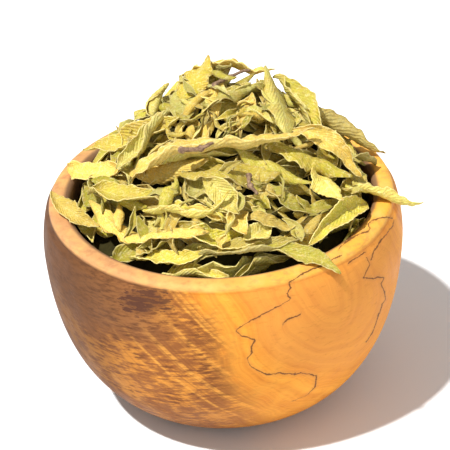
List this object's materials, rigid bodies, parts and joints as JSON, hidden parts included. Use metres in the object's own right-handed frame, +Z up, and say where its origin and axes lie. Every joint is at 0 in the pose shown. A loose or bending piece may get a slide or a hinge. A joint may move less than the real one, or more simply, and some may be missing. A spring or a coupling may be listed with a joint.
{
  "type": "bowl of dried lemon verbena leaves",
  "caption": "Turned spalted-wood bowl with a thick rounded rim, heaped with curled dried lemon verbena leaves and bits of twig.",
  "frame": {"origin": "centre of the bowl's flat foot, on the surface it stands on", "axes": "+Z up along the bowl's turning axis; -Y towards the side seen in the picture"},
  "size_m": [0.1354, 0.1298, 0.1218],
  "materials": {
    "spalted_wood": "oiled turned wood, orange with brown mottled bands and thin dark spalting lines",
    "leaf_bed_green": "packed dried leaf, matt, in shade",
    "leaf_green": "dried leaf, matt yellow-green, ribbed",
    "leaf_pale": "dried leaf underside, matt pale green",
    "leaf_gold": "dried leaf, matt golden yellow",
    "leaf_olive": "dried leaf, matt dark olive",
    "stem_brown": "dried brown twig"
  },
  "bodies": {
    "root": {"bowl": "spalted_wood", "leaf_bed": "leaf_bed_green", "leaf_left_wall": "leaf_olive", "leaf_left_shade": "leaf_olive", "leaf_front_left_dark": "leaf_olive", "leaf_front_mid_dark": "leaf_olive", "leaf_front_right_dark": "leaf_green", "leaf_right_deep": "leaf_green", "leaf_back_right_deep": "leaf_green", "leaf_back_deep": "leaf_olive", "leaf_back_left_deep": "leaf_green", "leaf_over_left_rim": "leaf_gold", "leaf_front_narrow": "leaf_green", "leaf_front_gold": "leaf_gold", "leaf_left_long": "leaf_green", "leaf_front_pale": "leaf_pale", "leaf_front_tail": "leaf_green", "leaf_rolled_right": "leaf_green", "leaf_small_green": "leaf_pale", "leaf_strap": "leaf_gold", "leaf_pointed": "leaf_gold", "leaf_tan_crescent": "leaf_green", "leaf_curl_grey": "leaf_green", "leaf_crumple_mid": "leaf_pale", "leaf_crumple_right": "leaf_pale", "leaf_u_curl": "leaf_green", "leaf_right_ribbed": "leaf_pale", "leaf_over_right_rim": "leaf_green", "leaf_thin_edge": "leaf_pale", "leaf_back_right_wide": "leaf_pale", "leaf_left_curl_tip": "leaf_gold", "leaf_left_behind": "leaf_green", "leaf_below_arch": "leaf_gold", "leaf_shield": "leaf_green", "leaf_mid_left": "leaf_pale", "leaf_mid_centre": "leaf_green", "leaf_mid_right": "leaf_green", "leaf_olive_right": "leaf_olive", "leaf_edge_strip": "leaf_gold", "leaf_upper_right": "leaf_gold", "leaf_back_right": "leaf_green", "leaf_back_low": "leaf_pale", "leaf_back_left": "leaf_green", "leaf_arch": "leaf_gold", "leaf_mid_top": "leaf_green", "leaf_back_top": "leaf_gold", "leaf_right_top": "leaf_green", "leaf_strip_tan": "leaf_gold", "leaf_narrow_pale": "leaf_pale", "leaf_gold_crescent": "leaf_gold", "leaf_ribbed_hood": "leaf_pale", "leaf_oval": "leaf_pale", "leaf_top_crumple": "leaf_olive", "leaf_top_cone": "leaf_green", "twig_bud": "stem_brown", "twig_mid": "stem_brown", "twig_top": "stem_brown"}
  },
  "joints": []
}
